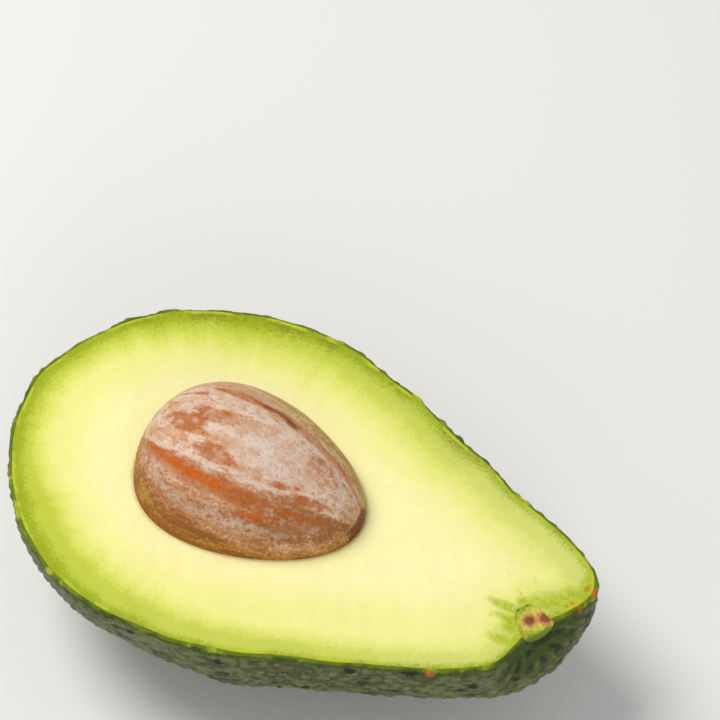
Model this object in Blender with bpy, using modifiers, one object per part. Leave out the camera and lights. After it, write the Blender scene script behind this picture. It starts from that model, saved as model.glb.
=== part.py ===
"""Half of a pear-shaped avocado, cut lengthways, with its seed still in the hollow.

The fruit is drawn in a frame of its own. X runs along the fruit, from the blossom end at 0 to the stem end,
Y runs across it, and the knife's cut is the plane Z = 0 with the kept half below it. That frame hangs on one
empty, which stands the half on a level surface at Z = 0: it rests on a small flat spot, the cut face level.

Four separate pieces are made: the pebbled skin, the flesh with a hollow for the seed, the seed, and the woody
plug of the stem. The knife went through skin, flesh and plug, and missed the seed, which stands half out.
"""

import math
import random

import bmesh
import bpy
import numpy as np
from mathutils import Matrix, Vector, kdtree, noise

MM = 0.001

# Outline of the whole fruit: a half ellipse at the blossom end, and a longer one with a waist and blunt neck
BELLY_AT = 39.2 * MM
NECK_LENGTH = 66.4 * MM
HALF_WIDTH = 34.5 * MM
BLOSSOM_POWER = 1.10
STEM_POWER = 0.68
WAIST = 0.28
WAIST_AT = 0.80
WAIST_SPREAD = 0.46
WAIST_EASE = 0.20

# Depth of the back as a share of the half width: a little flat under the belly, fuller under the neck
BELLY_DEPTH = 0.90
NECK_EXTRA_DEPTH = 0.27
DEPTH_RISE_FROM = 30 * MM
DEPTH_RISE_OVER = 68 * MM

# The stem end: it slants across the fruit and down into it, and is dimpled where the stem grew
STEM_SLANT = 0.22
STEM_SLANT_DOWN = 0.23
STEM_SLANT_POWER = 5
STEM_Y = -4.6 * MM
DIMPLE_DEPTH = 4.6 * MM
DIMPLE_RADIUS = 8.0 * MM
INNER_DIMPLE_DEPTH = 3.6 * MM

# Slow lumps that skin and flesh share, so that the cut rim isn't a perfect curve
LUMP_HEIGHT = 0.9 * MM
LUMP_SIZE = 21 * MM
RIPPLE_HEIGHT = 0.45 * MM
RIPPLE_SIZE = 7.5 * MM

# The skin and its pebbles
PEBBLE_PITCH = 3.9 * MM
PEBBLE_HEIGHT = 0.55 * MM
PEBBLE_SPREAD = 0.62
PEBBLE_FREE_RADIUS = 9 * MM
PLEAT_COUNT = 15
PLEAT_HEIGHT = 0.5 * MM
PLEAT_RADIUS = 8.0 * MM
PLEAT_WIDTH = 3.8 * MM
PEBBLE_SEED = 11

# The seed is an egg whose narrow end points at the stem
SEED_AT = Vector((44.6 * MM, 0.15 * MM, 0.0))
SEED_ROLL = math.radians(7)
SEED_TURN = math.radians(1.2)
SEED_HALF_LENGTH = 20.8 * MM
SEED_RADIUS = 15.6 * MM
SEED_TAPER = 0.21
SEED_SHOULDER = 0.065
SEED_WRINKLE = 0.35 * MM
SEED_WRINKLE_LENGTH = 14 * MM
SEED_WRINKLE_RATE = 2.4
SEED_SEAM_DEPTH = 0.45 * MM
SEED_SEAM_WIDTH = 1.3 * MM
SEED_SEAM_TURN = math.radians(-23)

# The woody plug of the stem, half of it left by the knife
PLUG_AT = Vector((98.8 * MM, -1.8 * MM, 0.0))
PLUG_ROLL = math.radians(4)
PLUG_TURN = math.radians(-33)
PLUG_HALF_LENGTH = 2.7 * MM
PLUG_RADIUS = 2.8 * MM
PLUG_ROOT_RADIUS = 2.2 * MM
PLUG_LIP = 0.35 * MM
PLUG_BEVEL = 0.4 * MM

# Where the half rests, the gap between touching pieces, the skin's thickness in gaps, and how shapes divide
REST_DEPTH = 32.0 * MM
GAP = 0.3 * MM
SKIN_GAPS = 4
SKIN_CUTS = 31
INNER_CUTS = 17
INNER_SMOOTHING = 0.12
SEED_CUTS = 13
PLUG_STEPS = 28
CUTTER_SIZE = 300 * MM

# Place of the fruit's frame: it centres the half over the origin, on the surface
AXIS_START = Vector((-53.1 * MM, -0.1 * MM, REST_DEPTH))


def smooth_step(value):
    """0 below 0, 1 above 1, and a smooth rise between them."""
    clipped = np.clip(value, 0.0, 1.0)
    return clipped * clipped * (3.0 - 2.0 * clipped)


def outline():
    """Points along the outline from the blossom end to the stem end: place along the axis and half width."""
    turn = np.linspace(0.0, math.pi, 721)
    along = -np.cos(turn)
    across = np.maximum(np.sin(turn), 0.0)
    toward_stem = np.maximum(along, 0.0)
    dip = np.exp(-(((toward_stem - WAIST_AT) / WAIST_SPREAD) ** 2))
    eased = 1.0 - np.exp(-((toward_stem / WAIST_EASE) ** 2))
    is_neck = along > 0.0
    place = BELLY_AT + np.where(is_neck, NECK_LENGTH, BELLY_AT) * along
    power = np.where(is_neck, STEM_POWER, BLOSSOM_POWER)
    half_width = HALF_WIDTH * across**power * (1.0 - WAIST * dip * eased)
    return place, half_width


OUTLINE_PLACE, OUTLINE_WIDTH = outline()
OUTLINE_STEP = np.hypot(np.diff(OUTLINE_PLACE), np.diff(OUTLINE_WIDTH))
OUTLINE_RUN = np.concatenate([[0.0], np.cumsum(OUTLINE_STEP)])


def fruit_points(directions, dimple_depth=DIMPLE_DEPTH):
    """Maps directions from a sphere's centre to points on the fruit, at even steps along its outline."""
    polar = np.arccos(np.clip(-directions[:, 0], -1.0, 1.0))
    run = polar / math.pi * OUTLINE_RUN[-1]
    x = np.interp(run, OUTLINE_RUN, OUTLINE_PLACE)
    half_width = np.interp(run, OUTLINE_RUN, OUTLINE_WIDTH)
    sideways = np.maximum(np.hypot(directions[:, 1], directions[:, 2]), 1e-9)
    y = half_width * directions[:, 1] / sideways
    z = half_width * directions[:, 2] / sideways
    depth = BELLY_DEPTH + NECK_EXTRA_DEPTH * smooth_step((x - DEPTH_RISE_FROM) / DEPTH_RISE_OVER)
    neck_share = np.clip((x - BELLY_AT) / NECK_LENGTH, 0.0, 1.0)
    from_stem = ((y - STEM_Y) ** 2 + z**2) / DIMPLE_RADIUS**2
    dimple = dimple_depth * np.exp(-from_stem) * (neck_share > 0.5)
    slant = (STEM_SLANT * y - STEM_SLANT_DOWN * z) * neck_share**STEM_SLANT_POWER
    return np.stack([x + slant - dimple, y, z * depth], axis=1)


def quad_sphere(cuts):
    """A unit sphere of even quads, as a bmesh."""
    ball = bmesh.new()
    bmesh.ops.create_cube(ball, size=2.0)
    bmesh.ops.subdivide_edges(ball, edges=ball.edges[:], cuts=cuts, use_grid_fill=True)
    for vertex in ball.verts:
        spread = Vector([math.tan(c * math.pi / 4) for c in vertex.co])
        vertex.co = spread.normalized()
    return ball


def lumps(point):
    """Height of the slow lumps at a point of the fruit."""
    slow = noise.noise(point / LUMP_SIZE)
    quick = noise.noise(point / RIPPLE_SIZE + Vector((7.0, 3.0, 1.0)))
    return LUMP_HEIGHT * slow + RIPPLE_HEIGHT * quick


def pebble_tree():
    """Pebble centres over the skin, each with its own size: a sunflower spiral by area, shaken a little."""
    draw = random.Random(PEBBLE_SEED)
    ring_area = 2 * math.pi * (OUTLINE_WIDTH[1:] + OUTLINE_WIDTH[:-1]) / 2 * OUTLINE_STEP
    covered = np.concatenate([[0.0], np.cumsum(ring_area)])
    count = int(covered[-1] / (PEBBLE_PITCH**2 * math.sqrt(3) / 2))
    golden = math.pi * (3 - math.sqrt(5))
    directions = []
    for i in range(count):
        area = (i + draw.uniform(0.1, 0.9)) / count * covered[-1]
        polar = np.interp(area, covered, OUTLINE_RUN) / OUTLINE_RUN[-1] * math.pi
        turn = i * golden + draw.uniform(-0.03, 0.03)
        side = math.sin(polar)
        directions.append((-math.cos(polar), side * math.cos(turn), side * math.sin(turn)))
    tree = kdtree.KDTree(count)
    for i, centre in enumerate(fruit_points(np.array(directions))):
        tree.insert(centre, i)
    tree.balance()
    sizes = [draw.uniform(0.75, 1.15) for _ in range(count)]
    return tree, sizes


def inner_points(directions):
    """The same outline with a shallower dimple, so that moving inwards doesn't fold its rim."""
    return fruit_points(directions, INNER_DIMPLE_DEPTH)


def skin_relief(point, tree, sizes):
    """Height of the skin's own relief: pebbles, which give way to pleats round the stem."""
    offset_y = point.y - STEM_Y
    from_stem = math.hypot(offset_y, point.z)
    near_stem = point.x > BELLY_AT + NECK_LENGTH / 2
    fade = float(smooth_step(from_stem / PEBBLE_FREE_RADIUS - 0.4)) if near_stem else 1.0
    _, index, distance = tree.find(point)
    reach = distance / (PEBBLE_PITCH * PEBBLE_SPREAD * sizes[index])
    height = PEBBLE_HEIGHT * fade * max(0.0, 1.0 - reach * reach)
    if near_stem:
        ring = math.exp(-(((from_stem - PLEAT_RADIUS) / PLEAT_WIDTH) ** 2))
        turn = math.atan2(point.z, offset_y)
        height += PLEAT_HEIGHT * ring * (1 + math.cos(PLEAT_COUNT * turn)) / 2
    return height


def seed_points(directions):
    """Maps directions from a sphere's centre to points on the smooth egg of the seed."""
    u = directions[:, 0]
    swell = 1.0 - SEED_TAPER * u + SEED_SHOULDER * (u * u - 0.25)
    y = SEED_RADIUS * swell * directions[:, 1]
    z = SEED_RADIUS * swell * directions[:, 2]
    return np.stack([SEED_HALF_LENGTH * u, y, z], axis=1)


def seed_relief(point):
    """Depth of the seed coat's long wrinkles, and of the seam between its two halves. It is never above 0."""
    turn = math.atan2(point.y, point.z)
    across, up = SEED_WRINKLE_RATE * math.cos(turn), SEED_WRINKLE_RATE * math.sin(turn)
    wrinkle = noise.noise(Vector((point.x / SEED_WRINKLE_LENGTH, across, up)))
    from_seam = math.hypot(point.y, point.z) * (turn - SEED_SEAM_TURN)
    seam = math.exp(-((from_seam / SEED_SEAM_WIDTH) ** 2))
    along = max(0.0, 1.0 - (point.x / SEED_HALF_LENGTH) ** 2)
    return -SEED_WRINKLE * abs(wrinkle) - SEED_SEAM_DEPTH * seam * along


def shaped_ball(cuts, shape, rise):
    """A quad sphere carried onto shape, then moved along its normals by rise(point)."""
    ball = quad_sphere(cuts)
    directions = np.array([vertex.co for vertex in ball.verts])
    for vertex, point in zip(ball.verts, shape(directions)):
        vertex.co = point
    move_out(ball, rise)
    return ball


def move_out(ball, rise):
    ball.normal_update()
    moves = [vertex.normal * rise(vertex.co) for vertex in ball.verts]
    for vertex, move in zip(ball.verts, moves):
        vertex.co += move


def skin_ball():
    """The fruit's outside, with lumps, pebbles and pleats."""
    tree, sizes = pebble_tree()
    return shaped_ball(SKIN_CUTS, fruit_points, lambda point: lumps(point) + skin_relief(point, tree, sizes))


def inner_ball(steps):
    """The fruit's inside. The outline moves in by one GAP a step, smoothed on the way to prevent folds."""
    ball = shaped_ball(INNER_CUTS, inner_points, lumps)
    for _ in range(steps):
        move_out(ball, lambda point: -GAP)
        smooth = {"factor": INNER_SMOOTHING, "use_axis_x": True, "use_axis_y": True, "use_axis_z": True}
        bmesh.ops.smooth_vert(ball, verts=ball.verts[:], **smooth)
    return ball


def as_mesh(ball, name):
    mesh = bpy.data.meshes.new(name)
    ball.to_mesh(mesh)
    ball.free()
    return mesh


def new_collection(name):
    collection = bpy.data.collections.new(name)
    bpy.context.scene.collection.children.link(collection)
    return collection


def place(mesh, collection, frame, location=(0.0, 0.0, 0.0), roll=0.0, turn=0.0):
    """An object for mesh, hung on the fruit's frame: rolled about X, then turned in the cut's plane."""
    piece = bpy.data.objects.new(mesh.name, mesh)
    collection.objects.link(piece)
    piece.parent = frame
    piece.location = location
    piece.rotation_euler = (roll, 0.0, turn)
    return piece


def material(name, colour, roughness):
    finish = bpy.data.materials.new(name)
    finish.use_nodes = True
    shader = finish.node_tree.nodes["Principled BSDF"]
    shader.inputs["Base Color"].default_value = (*colour, 1.0)
    shader.inputs["Roughness"].default_value = roughness
    shader.inputs["Metallic"].default_value = 0.0
    return finish


def finish_piece(piece, finish, sharp_angle):
    piece.data.materials.append(finish)
    piece.data.shade_smooth()
    piece.data.set_sharp_from_angle(angle=math.radians(sharp_angle))


def as_cutter(piece):
    piece.hide_render = True
    piece.display_type = "WIRE"
    return piece


def cut_by(piece, *cutters):
    for cutter in cutters:
        cut = piece.modifiers.new("cut by " + cutter.name, "BOOLEAN")
        cut.operation = "DIFFERENCE"
        cut.solver = "EXACT"
        cut.object = cutter


def box_cutter(name, centre_z, collection, frame):
    block = bmesh.new()
    bmesh.ops.create_cube(block, size=CUTTER_SIZE)
    return as_cutter(place(as_mesh(block, name), collection, frame, location=(BELLY_AT, 0.0, centre_z)))


def plug_profile(clearance):
    """Half outline of the plug, from its outer end down to its root, as (place along the axis, radius)."""
    end = PLUG_HALF_LENGTH + clearance
    lip = PLUG_RADIUS + PLUG_LIP + clearance
    return [
        (end, 0.0),
        (end, lip - PLUG_BEVEL),
        (end - PLUG_BEVEL, lip),
        (0.4 * PLUG_HALF_LENGTH, PLUG_RADIUS + clearance),
        (-0.6 * PLUG_HALF_LENGTH, PLUG_ROOT_RADIUS + clearance),
        (-end, 0.55 * PLUG_ROOT_RADIUS + clearance),
        (-end, 0.0),
    ]


def turned_plug(name, clearance, collection, frame):
    """The plug's outline turned about X, which points out of the fruit at the stem."""
    corners = [(along, radius, 0.0) for along, radius in plug_profile(clearance)]
    mesh = bpy.data.meshes.new(name)
    mesh.from_pydata(corners, [(i, i + 1) for i in range(len(corners) - 1)], [])
    piece = place(mesh, collection, frame, PLUG_AT, PLUG_ROLL, PLUG_TURN)
    turned = piece.modifiers.new("turned", "SCREW")
    turned.axis = "X"
    turned.steps = PLUG_STEPS
    turned.render_steps = PLUG_STEPS
    turned.use_merge_vertices = True
    turned.merge_threshold = 0.00001
    turned.use_normal_calculate = True
    return piece


def build():
    for old in list(bpy.data.objects):
        bpy.data.objects.remove(old)
    parts = new_collection("Avocado half")
    cutters = new_collection("Cutters")
    frame = bpy.data.objects.new("fruit_frame", None)
    parts.objects.link(frame)
    frame.location = AXIS_START

    knife = box_cutter("knife", CUTTER_SIZE / 2, cutters, frame)
    surface = box_cutter("surface_it_rests_on", -REST_DEPTH - CUTTER_SIZE / 2, cutters, frame)

    inside = as_cutter(place(as_mesh(inner_ball(SKIN_GAPS), "inside_of_skin"), cutters, frame))
    hollow_mesh = as_mesh(shaped_ball(SEED_CUTS, seed_points, lambda point: GAP), "seed_hollow")
    hollow = as_cutter(place(hollow_mesh, cutters, frame, SEED_AT, SEED_ROLL, SEED_TURN))
    pocket = as_cutter(turned_plug("plug_pocket", GAP, cutters, frame))

    skin = place(as_mesh(skin_ball(), "skin"), parts, frame)
    cut_by(skin, pocket, surface, knife, inside)
    finish_piece(skin, material("skin_green", (0.045, 0.095, 0.022), 0.42), 50)

    flesh = place(as_mesh(inner_ball(SKIN_GAPS + 1), "flesh"), parts, frame)
    cut_by(flesh, hollow, pocket, knife)
    finish_piece(flesh, material("flesh_yellow", (0.82, 0.80, 0.33), 0.5), 40)

    seed_ball = shaped_ball(SEED_CUTS, seed_points, seed_relief)
    seed = place(as_mesh(seed_ball, "seed"), parts, frame, SEED_AT, SEED_ROLL, SEED_TURN)
    finish_piece(seed, material("seed_brown", (0.36, 0.17, 0.09), 0.45), 60)

    plug = turned_plug("stem_plug", 0.0, parts, frame)
    cut_by(plug, knife)
    finish_piece(plug, material("plug_wood", (0.27, 0.12, 0.06), 0.8), 40)


build()
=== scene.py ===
import math
import random

import bmesh
import bpy
import numpy as np
from bpy.props import FloatProperty, FloatVectorProperty, PointerProperty
from mathutils import Matrix, Vector, kdtree, noise

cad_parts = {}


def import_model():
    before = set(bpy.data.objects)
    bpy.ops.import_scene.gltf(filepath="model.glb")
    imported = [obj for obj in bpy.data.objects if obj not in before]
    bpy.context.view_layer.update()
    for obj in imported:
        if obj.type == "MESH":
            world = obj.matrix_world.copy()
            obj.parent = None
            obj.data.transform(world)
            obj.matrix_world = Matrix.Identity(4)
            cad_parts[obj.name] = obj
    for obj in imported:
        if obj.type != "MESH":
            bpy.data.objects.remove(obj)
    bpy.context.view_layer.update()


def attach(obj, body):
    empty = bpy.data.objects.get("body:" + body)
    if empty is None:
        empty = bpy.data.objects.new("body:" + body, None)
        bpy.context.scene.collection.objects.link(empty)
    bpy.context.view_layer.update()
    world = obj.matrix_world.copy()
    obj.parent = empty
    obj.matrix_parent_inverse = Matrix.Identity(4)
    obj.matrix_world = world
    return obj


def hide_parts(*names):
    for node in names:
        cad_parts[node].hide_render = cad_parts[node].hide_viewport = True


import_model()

bl_info = {
    "name": "Halved avocado",
    "version": (1, 0, 0),
    "blender": (4, 5, 0),
    "location": "3D View > Sidebar > Avocado",
    "description": "Dresses a halved avocado: pebbled skin, shaded flesh, veined seed and woody stem plug",
    "category": "Object",
}

MM = 0.001

# The fruit's own frame: X runs from the blossom end to the stem end, and the knife's cut is at Z = 0. Here
# are the depth of the flat spot that it rests on, and the frame's place in the scene
REST_DEPTH = 32.0
FRUIT_AT = Vector((-53.1, -0.1, REST_DEPTH)) * MM

# Outline of the whole fruit, in millimetres, as the solids have it
BELLY_AT = 39.2
NECK_LENGTH = 66.4
HALF_WIDTH = 34.5
BLOSSOM_POWER = 1.10
STEM_POWER = 0.68
WAIST = 0.28
WAIST_AT = 0.80
WAIST_SPREAD = 0.46
WAIST_EASE = 0.20
BELLY_DEPTH = 0.90
NECK_EXTRA_DEPTH = 0.27
DEPTH_RISE_FROM = 30.0
DEPTH_RISE_OVER = 68.0

# The stem end, with its dimple and pleats, and the slow lumps that skin and flesh share
STEM_SLANT = 0.22
STEM_SLANT_DOWN = 0.23
STEM_SLANT_POWER = 5
STEM_Y = -4.6
DIMPLE_DEPTH = 4.6
INNER_DIMPLE_DEPTH = 4.4
DIMPLE_RADIUS = 8.0
LUMP_HEIGHT = 0.9
LUMP_SIZE = 21.0
RIPPLE_HEIGHT = 0.45
RIPPLE_SIZE = 7.5
PLEAT_COUNT = 15
PLEAT_HEIGHT = 0.5
PLEAT_RADIUS = 8.0
PLEAT_WIDTH = 3.8

# The pebbles are longer along the fruit than across it, and give way to the pleats near the stem
PEBBLE_SEED = 23
PEBBLE_SQUEEZE = (0.72, 1.0, 1.0)
PEBBLE_STRAY = 24
PEBBLE_TURN_STRAY = 0.03
PEBBLE_FREE_RADIUS = 9.0
SKIN_GRAIN_HEIGHT = 0.10

# The skin's cut edge: limits of its worn slope, how far it bulges between skin and flesh, and how unevenly
LEAST_BEVEL = 0.12
MOST_BEVEL = 2.0
RIM_BULGE = 0.18
RIM_UNEVENNESS = 0.25

# What the knife leaves on the face, in long waves and in short ones
KNIFE_WAVE_HEIGHT = 0.22
KNIFE_RIPPLE_HEIGHT = 0.10

# The gaps beside the plug and the seed's rim, and under the seed
CLOSE_FIT = 0.03
HOLLOW_CLEARANCE = 0.2

# The seed and the stem's plug, in millimetres and degrees
SEED_AT = Vector((44.6, 0.15, 0.0))
SEED_TURN = math.radians(1.2)
SEED_HALF_LENGTH = 20.8
SEED_RADIUS = 15.6
SEED_TAPER = 0.21
SEED_SHOULDER = 0.065
SEED_SEAM_TURN = math.radians(-30)
SEED_FLAKE_TURN = math.radians(27)
WRINKLE_LENGTH = 14.0
WRINKLE_RATE = 2.4
WRINKLE_DEPTH = 0.30
FINE_WRINKLE_DEPTH = 0.12
SEAM_DEPTH = 0.35
FLAKE_DEPTH = 0.22
PLUG_AT = Vector((98.8, -1.8, 0.0))
PLUG_TURN = math.radians(-33)
PLUG_HALF_LENGTH = 2.7
PLUG_RADIUS = 2.8
PLUG_ROOT_RADIUS = 2.2
PLUG_LIP = 0.35
PLUG_BEVEL = 0.4
PLUG_SIDE_ROUGHNESS = 0.22
PLUG_TOP_ROUGHNESS = 0.34

# Ovals on the seed, rubbed clear of bloom or dusty with it: place along the seed and round it, and half size
SEED_RUST = (
    ((-0.55, -0.040), (0.22, 0.045)),
    ((-0.34, 0.012), (0.20, 0.030)),
    ((-0.20, -0.122), (0.22, 0.034)),
    ((-0.64, 0.107), (0.24, 0.014)),
    ((-0.26, 0.150), (0.26, 0.020)),
    ((0.60, 0.060), (0.16, 0.045)),
    ((0.56, -0.134), (0.26, 0.030)),
    ((0.30, -0.287), (0.22, 0.022)),
    ((0.56, -0.232), (0.20, 0.024)),
)
SEED_DUST = (
    ((-0.66, -0.250), (0.26, 0.075)),
    ((-0.12, -0.320), (0.40, 0.035)),
    ((0.30, -0.350), (0.34, 0.030)),
)

# The plug's two bundles of fibres: place along and across it, and radius
PLUG_BUNDLES = (((0.0, -0.3), 1.35), ((0.9, 2.3), 1.55))

# Green streaks round the stem, and rusty marks on the skin's edge and the flesh beside it: place, half size
STEM_GREENS = (
    ((94.2, -1.4), (3.0, 0.8)),
    ((95.4, -3.4), (2.0, 0.7)),
    ((96.4, 0.6), (1.2, 0.9)),
    ((98.9, 1.8), (2.0, 0.8)),
    ((96.4, -4.4), (1.4, 1.6)),
    ((101.2, 3.6), (2.2, 1.2)),
    ((103.2, 5.6), (2.0, 1.6)),
    ((104.6, 9.0), (1.2, 3.0)),
    ((96.6, -7.6), (2.6, 0.9)),
    ((99.4, -6.4), (1.6, 1.0)),
)
SKIN_STAINS = (
    ((88.5, -18.9), (0.7, 0.7)),
    ((106.0, 7.8), (0.5, 0.9)),
    ((105.2, 4.0), (0.4, 0.5)),
)
RIM_STAINS = (
    ((104.7, 8.0), (0.5, 0.7)),
    ((103.7, 4.3), (0.5, 0.35)),
    ((103.1, 3.4), (0.35, 0.3)),
)

# How finely the curves and meshes are divided
OUTLINE_POINTS = 721
SECTION_POINTS = 400
FRUIT_ROWS = 360
SKIN_COLUMNS = 220
HIDDEN_COLUMNS = 18
FACE_RINGS = 76
HOLLOW_RINGS = 16
RIM_SHARES = (0.25, 0.5, 0.75)
SEED_ROWS = 230
SEED_COLUMNS = 240
PLUG_STEP = 0.18
PLUG_COLUMNS = 40
PLUG_TOP_COLUMNS = 30
POCKET_COLUMNS = 60

# The photograph's view: how far round from the front and above the level face, and how far away. The fruit's
# middle isn't at the picture's middle, so the camera is turned by that many pixels
VIEW_ROUND = math.radians(28.08)
VIEW_ABOVE = math.radians(57.31)
VIEW_DISTANCE = 0.51885
VIEW_POINT = FRUIT_AT + Vector((53.2, 0.0, 0.0)) * MM
PICTURE_SIZE = 720
MIDDLE_FROM_POINT = (64.2, 143.8)
SENSOR_WIDTH = 36.0

# The floor's half width in millimetres, the point that the soft lights face, and each light's place, size in
# metres and colour
FLOOR_REACH = 3000
LIT_POINT = Vector((0.0, 0.0, 0.02))
LIGHTS = {
    "key": ((-0.45, 0.0, 0.85), 0.5, (1.0, 0.985, 0.96)),
    "fill": ((0.55, -0.75, 0.45), 0.7, (0.97, 0.985, 1.0)),
}


def linear(*shown):
    """A colour as Blender wants it, from one as a screen shows it."""
    shares = [c / 255 for c in shown]
    return tuple(s / 12.92 if s < 0.0405 else ((s + 0.055) / 1.055) ** 2.4 for s in shares)


def colour(name, description, *shown):
    return FloatVectorProperty(
        name=name, description=description, default=linear(*shown), subtype="COLOR", size=3, min=0, max=1
    )


def length(name, description, millimetres):
    return FloatProperty(name=name, description=description, default=millimetres * MM, unit="LENGTH", min=0)


def light_power(name, description, watts):
    return FloatProperty(name=name, description=description, default=watts, unit="POWER", min=0)


class AVOCADO_PG_skin(bpy.types.PropertyGroup):
    thickness: length("Thickness", "Thickness of the skin where it is cut", 0.6)
    bevel: length("Worn rim", "How far the skin's cut edge slopes down, on average", 0.65)
    pebble_pitch: length("Pebble pitch", "Distance between neighbouring pebbles", 2.3)
    pebble_height: length("Pebble height", "Height of the tallest pebbles", 0.4)
    # Dark green: the skin's own dark pits, and painted shade in the grooves between the pebbles and between
    # the pleats
    dark: colour("Dark green", "Pits and grooves of the skin", 24, 34, 6)
    mid: colour("Mid green", "Skin without bloom", 72, 82, 30)
    # Bloom and sheen: the skin's own dusty bloom, with painted sheen in it that stands for the grey
    # reflection on the skin
    bloom_and_sheen: colour("Bloom", "Dusty bloom on the skin", 110, 116, 72)
    yellow: colour("Pale flecks", "Tops of the paler pebbles", 128, 136, 74)
    brown: colour("Brown flecks", "Tops of the corky pebbles", 140, 68, 40)
    cut: colour("Cut edge", "The skin's edge next to the flesh", 174, 186, 42)
    lip: colour("Lip", "Darker stretches of the cut edge", 104, 120, 16)
    stain: colour("Stain", "Rusty marks at the rim", 204, 92, 46)
    # Moss: the fresh green round the stem, and also painted shadow in a band just below the skin's cut edge
    moss: colour("Moss", "Fresh green below the cut edge and round the stem", 68, 90, 8)


class AVOCADO_PG_flesh(bpy.types.PropertyGroup):
    cream: colour("Cream", "Flesh round the seed", 252, 245, 180)
    yellow: colour("Yellow", "Flesh half way out", 240, 239, 146)
    lime: colour("Lime", "Flesh where the green begins", 220, 226, 102)
    green: colour("Green", "Flesh next to the skin", 192, 204, 62)
    deep: colour("Deep green", "The last two millimetres of flesh", 158, 174, 22)
    olive: colour("Olive", "Darker patches of the rim", 128, 132, 24)
    edge: colour("Edge", "The bright line that borders the skin", 188, 202, 40)
    stem: colour("Stem green", "Green streaks round the stem", 142, 166, 0)
    stain: colour("Stain", "Small rusty marks at the rim near the stem", 196, 120, 48)
    # Hollow: an ochre ring on the flesh round the seed, partly a stain from the seed's coat and partly
    # painted shade where the flesh meets the seed
    hollow: colour("Hollow", "Flesh stained by the seed", 214, 164, 84)


class AVOCADO_PG_seed(bpy.types.PropertyGroup):
    pale: colour("Pale", "Dry bloom on the seed's coat", 230, 204, 184)
    ash: colour("Ash", "The palest bloom, on top", 224, 206, 194)
    tan: colour("Tan", "The coat's main colour", 208, 156, 116)
    brown: colour("Brown", "The low side", 180, 118, 76)
    umber: colour("Umber", "Worn streaks, and the foot of the seed", 150, 88, 40)
    rust: colour("Rust", "Patches where the bloom is rubbed off", 180, 94, 30)
    orange: colour("Orange", "Fresh coat below the seam", 200, 94, 0)
    gold: colour("Gold", "Thin coat where it leaves the flesh", 188, 136, 40)
    beige: colour("Beige", "Thin coat on the far side", 214, 186, 116)
    dark: colour("Dark", "The tip, the veins and the flaked edge", 110, 52, 28)


class AVOCADO_PG_plug(bpy.types.PropertyGroup):
    brown: colour("Brown", "Heart of the two bundles of fibres", 132, 74, 44)
    rose: colour("Rose", "Outside of the bundles", 204, 124, 76)
    cream: colour("Cream", "Pith between the bundles", 220, 212, 92)
    green: colour("Green", "Pith next to the flesh", 178, 190, 44)
    moss: colour("Moss", "Sides of the plug", 110, 130, 24)


class AVOCADO_PG_stage(bpy.types.PropertyGroup):
    floor: colour("Floor", "The floor's colour", 235, 235, 233)
    key: light_power("Key light", "Power of the main light", 6.0)
    fill: light_power("Fill light", "Power of the second light", 2.2)
    sky: FloatProperty(name="Sky", description="Strength of the light from all round", default=0.42, min=0)
    lens: FloatProperty(name="Lens", description="Focal length", default=150.8, unit="CAMERA", min=1)


def smooth_step(value):
    """0 below 0, 1 above 1, and a smooth rise between them."""
    clipped = np.clip(value, 0.0, 1.0)
    return clipped * clipped * (3.0 - 2.0 * clipped)


def outline():
    """Points along the outline from the blossom end to the stem end: place along the axis and half width."""
    turn = np.linspace(0.0, math.pi, OUTLINE_POINTS)
    along = -np.cos(turn)
    across = np.maximum(np.sin(turn), 0.0)
    toward_stem = np.maximum(along, 0.0)
    dip = np.exp(-(((toward_stem - WAIST_AT) / WAIST_SPREAD) ** 2))
    eased = 1.0 - np.exp(-((toward_stem / WAIST_EASE) ** 2))
    is_neck = along > 0.0
    place = BELLY_AT + np.where(is_neck, NECK_LENGTH, BELLY_AT) * along
    power = np.where(is_neck, STEM_POWER, BLOSSOM_POWER)
    half_width = HALF_WIDTH * across**power * (1.0 - WAIST * dip * eased)
    return place, half_width


OUTLINE_PLACE, OUTLINE_WIDTH = outline()
OUTLINE_STEP = np.hypot(np.diff(OUTLINE_PLACE), np.diff(OUTLINE_WIDTH))
OUTLINE_RUN = np.concatenate([[0.0], np.cumsum(OUTLINE_STEP)])


def fruit_points(directions, dimple_depth=DIMPLE_DEPTH):
    """Maps directions from a sphere's centre to points on the fruit, at even steps along its outline."""
    polar = np.arccos(np.clip(-directions[:, 0], -1.0, 1.0))
    run = polar / math.pi * OUTLINE_RUN[-1]
    x = np.interp(run, OUTLINE_RUN, OUTLINE_PLACE)
    half_width = np.interp(run, OUTLINE_RUN, OUTLINE_WIDTH)
    sideways = np.maximum(np.hypot(directions[:, 1], directions[:, 2]), 1e-9)
    y = half_width * directions[:, 1] / sideways
    z = half_width * directions[:, 2] / sideways
    depth = BELLY_DEPTH + NECK_EXTRA_DEPTH * smooth_step((x - DEPTH_RISE_FROM) / DEPTH_RISE_OVER)
    neck_share = np.clip((x - BELLY_AT) / NECK_LENGTH, 0.0, 1.0)
    from_stem = ((y - STEM_Y) ** 2 + z**2) / DIMPLE_RADIUS**2
    dimple = dimple_depth * np.exp(-from_stem) * (neck_share > 0.5)
    slant = (STEM_SLANT * y - STEM_SLANT_DOWN * z) * neck_share**STEM_SLANT_POWER
    return np.stack([x + slant - dimple, y, z * depth], axis=1)


def inner_points(directions):
    return fruit_points(directions, INNER_DIMPLE_DEPTH)


def unit(vectors):
    return vectors / np.maximum(np.linalg.norm(vectors, axis=1, keepdims=True), 1e-12)


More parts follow.
